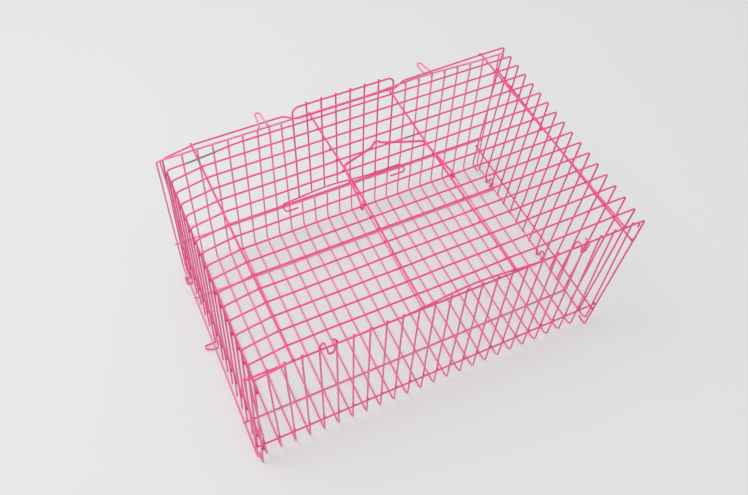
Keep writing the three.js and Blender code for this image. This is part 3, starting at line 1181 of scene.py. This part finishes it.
@dataclass(frozen=True)
class Coating:
    """The finish of coated wire.

    Args:
        slot: The material slot.
        colour: The coating's colour.
        deep: Its colour where it is thick or dirty.
        pale: Its colour where it is thin.
        bare: The colour of bare or tarred wire in the worn places.
        roughness: Its mean roughness.
        coat: The weight and roughness of its gloss.
        ripple: The strength of its ripples and their height in metres.
        painted_pale_colour: A paler colour painted on towards the back as painted paleness; the
            real coating is the same colour there.
        fade: How much of that painted paleness there is at the back, from 0 to 1.
        painted_pale_from: Where the painted paleness begins and where it is full, across the
            cage, in metres.
        worn: The worn places.
    """

    slot: Slot
    colour: Numbers = (0.89, 0.056, 0.28, 1)
    deep: Numbers = (0.74, 0.022, 0.17, 1)
    pale: Numbers = (0.92, 0.16, 0.41, 1)
    bare: Numbers = (0.21, 0.185, 0.185, 1)
    roughness: float = 0.34
    coat: Numbers = (0.35, 0.12)
    ripple: Numbers = (0.25, 0.0003)
    # The paler colour painted on towards the back of the cage: painted paleness, not a real fade.
    painted_pale_colour: Numbers = (0.92, 0.26, 0.48, 1)
    fade: float = 0.0
    painted_pale_from: Numbers = (-0.135, 0.03)
    worn: tuple[WornPlace, ...] = ()

    def make(self, groups: SharedGroups) -> bpy.types.Material:
        """Makes the material.

        Args:
            groups: The shared node groups.

        Returns:
            The material.
        """
        material = bpy.data.materials.new(self.slot.value)
        material.use_nodes = True
        tree = material.node_tree
        place = add_node(tree, "TexCoord").outputs["Object"]
        gathered = add_node(tree, "Attribute", attribute_name="gathered").outputs["Fac"]
        tone = add_node(tree, "Group", node_tree=groups.tone, inputs={
            "Place": place, "Gathered": gathered, "Colour": self.colour, "Deep colour": self.deep,
            "Pale colour": self.pale})
        colour = tone.outputs["Colour"]
        # Painted paleness: the colour is mixed paler towards the back, though the real coating is
        # one colour.
        if self.fade:
            across = add_node(tree, "SeparateXYZ", {"Vector": place}).outputs["Y"]
            share = ramp(tree, across, *self.painted_pale_from, self.fade)
            colour = mix_colours(tree, share, colour, self.painted_pale_colour)
        wear = 0.0
        for spot in self.worn:
            mask = add_node(tree, "Group", node_tree=groups.wear, inputs={
                "Place": place, "Middle": spot.at, "Reach": spot.reach, "Before": wear})
            wear = mask.outputs["Wear"]
        if self.worn:
            colour = mix_colours(tree, wear, colour, self.bare)
        skin = add_node(tree, "Group", node_tree=groups.skin, inputs={
            "Place": place, "Wear": wear, "Roughness": self.roughness}).outputs
        strength, height = self.ripple
        bump = add_node(tree, "Bump", {"Strength": strength, "Distance": height,
                                       "Height": skin["Height"]})
        weight, roughness = self.coat
        fill(tree.nodes["Principled BSDF"], {
            "Coat Weight": weight, "Coat Roughness": roughness, "Base Color": colour,
            "Roughness": skin["Roughness"], "Normal": bump.outputs["Normal"]})
        return material


COATINGS = (
    # The base is painted paler than the cover, and paler still towards the back: painted paleness
    # on one real coating.
    Coating(Slot.BASE, colour=(0.89, 0.095, 0.33, 1), fade=0.8),
    Coating(Slot.COVER, worn=(
        WornPlace((-0.1703, 0.1134, 0.2069), 0.0070), WornPlace((-0.1484, 0.1135, 0.2069), 0.0110),
        WornPlace((-0.1612, 0.1068, 0.2095), 0.0058), WornPlace((0.0570, 0.0518, 0.2069), 0.0050))),
    Coating(Slot.DOOR),
    Coating(Slot.HANDLE),
)


@dataclass(frozen=True)
class Studio:
    """The camera, the floor and the light.

    Args:
        camera_at: Place of the camera in metres.
        camera_turn: Its rotation about X, Y and Z in degrees.
        focal_pixels: Its focal length in pixels of the photograph's width.
        sensor: Width of its sensor in millimetres.
        floor_drop: How far the floor lies under the cage, in metres.
        floor_shown: Its plain colour to the camera and in reflections.
        floor_shown_share: How much of that is mixed in.
        world_light: Strength of the light from all sides.
        lamp_at: Place of the lamp in metres.
        lamp_size: Its diameter in metres.
    """

    camera_at: Numbers = (-0.23841, -0.44982, 0.83423)
    camera_turn: Numbers = (34.5921, -1.4758, -25.0677)
    focal_pixels: float = 782.24
    picture_width: int = 748
    sensor: float = 36.0
    clip_start: float = 0.05
    floor_reach: float = 6.0
    floor_drop: float = 0.0002
    floor_colour: Numbers = (0.765, 0.78, 0.772, 1)
    floor_roughness: float = 0.9
    floor_specular: float = 0.1
    floor_shown: Numbers = (0.765, 0.778, 0.768, 1)
    floor_shown_share: float = 0.4
    world_light: float = 0.72
    lamp_at: Numbers = (-0.75, 0.35, 1.75)
    lamp_aim: Numbers = (0, 0, 0.1)
    lamp_size: float = 1.1
    lamp_watts: float = 14.0
    lamp_colour: Numbers = (1.0, 0.998, 0.985)

    def make(self) -> None:
        """Makes the whole studio."""
        bpy.context.scene.view_settings.view_transform = "Standard"
        self._camera()
        self._floor()
        self._light()

    def _camera(self) -> None:
        """Makes the camera at the photograph's viewing angle."""
        data = bpy.data.cameras.new("camera")
        data.sensor_width = self.sensor
        data.sensor_fit = "HORIZONTAL"
        data.lens = self.focal_pixels * self.sensor / self.picture_width
        data.clip_start = self.clip_start
        camera = put_object("camera", data)
        camera.location = self.camera_at
        camera.rotation_euler = [math.radians(turn) for turn in self.camera_turn]
        bpy.context.scene.camera = camera

    def _floor(self) -> None:
        """Makes the plain pale floor."""
        reach = self.floor_reach
        mesh = bpy.data.meshes.new("floor")
        corners = [(-reach, -reach, 0), (reach, -reach, 0), (reach, reach, 0), (-reach, reach, 0)]
        mesh.from_pydata(corners, [], [(0, 1, 2, 3)])
        material = bpy.data.materials.new("floor")
        material.use_nodes = True
        shader = fill(material.node_tree.nodes["Principled BSDF"], {
            "Base Color": self.floor_colour, "Roughness": self.floor_roughness,
            "Specular IOR Level": self.floor_specular})
        self._show_pale(material.node_tree, shader)
        mesh.materials.append(material)
        floor = put_object("floor", mesh)
        floor.location.z = -self.floor_drop
        floor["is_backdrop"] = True

    def _show_pale(self, tree: NodeTree, shader: bpy.types.Node) -> None:
        """Shows part of the floor at its plain colour to the camera and in reflections.

        Args:
            tree: The floor's node tree.
            shader: Its main shader.
        """
        rays = add_node(tree, "LightPath").outputs
        seen = combine(tree, "MAXIMUM", rays["Is Camera Ray"], rays["Is Glossy Ray"])
        share = combine(tree, "MULTIPLY", seen, self.floor_shown_share)
        plain = add_node(tree, "Emission", {"Color": self.floor_shown})
        mixed = add_node(tree, "MixShader", {
            "Fac": share, 1: shader.outputs["BSDF"], 2: plain.outputs["Emission"]})
        fill(tree.nodes["Material Output"], {"Surface": mixed.outputs["Shader"]})

    def _light(self) -> None:
        """Makes the soft light of the world and one broad lamp."""
        world = bpy.data.worlds.new("studio")
        world.use_nodes = True
        fill(world.node_tree.nodes["Background"],
             {"Color": (1.0, 1.0, 1.0, 1), "Strength": self.world_light})
        bpy.context.scene.world = world
        data = bpy.data.lights.new("lamp", "AREA")
        data.shape = "DISK"
        data.size = self.lamp_size
        data.energy = self.lamp_watts
        data.color = self.lamp_colour
        lamp = put_object("lamp", data)
        lamp.location = self.lamp_at
        aim = Vector(self.lamp_aim) - Vector(self.lamp_at)
        lamp.rotation_euler = aim.to_track_quat("-Z", "Y").to_euler()


def find_origin(base: BaseMesh) -> Vector:
    """Finds where the sizes' own origin lies in the frame of the model.

    Args:
        base: The base, for the height of its front rod.

    Returns:
        The origin, in metres.
    """
    along = sum(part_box("front_low_rod"), Vector()) / 2
    across = sum(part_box("base_wire_03"), Vector()) / 2
    wire_low, wire_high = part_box("front_low_rod")
    height = (wire_low.z + wire_high.z) / 2 - base.front_rod_height * MM
    return Vector((along.x, across.y, height))


def write_sizes() -> None:
    """Works out the box of the solids and that of the shown pieces, and does not keep them."""
    [[list(corner_at) for corner_at in box] for box in (CAD_BOX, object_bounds())]


def main() -> None:
    """Builds the cage's looks, its finishes and the studio."""
    logging.basicConfig(level=logging.INFO, format="%(name)s: %(message)s")
    chance = random.Random(SEED)
    base, cover, door, handle = BaseMesh(), CoverMesh(), LiftDoor(), CarryHandle()
    base_rods, base_wires = base.make_rods(), base.make_wires()
    cover_rods, cover_wires = cover.make_rods(), cover.make_wires()
    carriers, bars = door.make_wires()
    everything = [*base_rods, *base_wires, *cover_rods, *cover_wires, *carriers, *bars,
                  handle.make_wire()]
    for wire in everything:
        wire.draw(chance)
    for name, rods, wires in (("base", base_rods, base_wires), ("cover", cover_rods, cover_wires),
                              ("door", carriers, bars + carriers[1:])):
        LOG.info("%s: %d welds", name, weld_together(rods, wires))
    groups = SharedGroups()
    finishes = {coating.slot: coating.make(groups) for coating in COATINGS}
    origin = find_origin(base)
    for wire in everything:
        piece = WireMesh(wire, origin, chance).make()
        piece.data.materials.append(finishes[wire.slot])
        LOG.info("%s: %d faces", piece.name, len(piece.data.polygons))
    Studio().make()
    write_sizes()


if __name__ == "__main__":
    main()
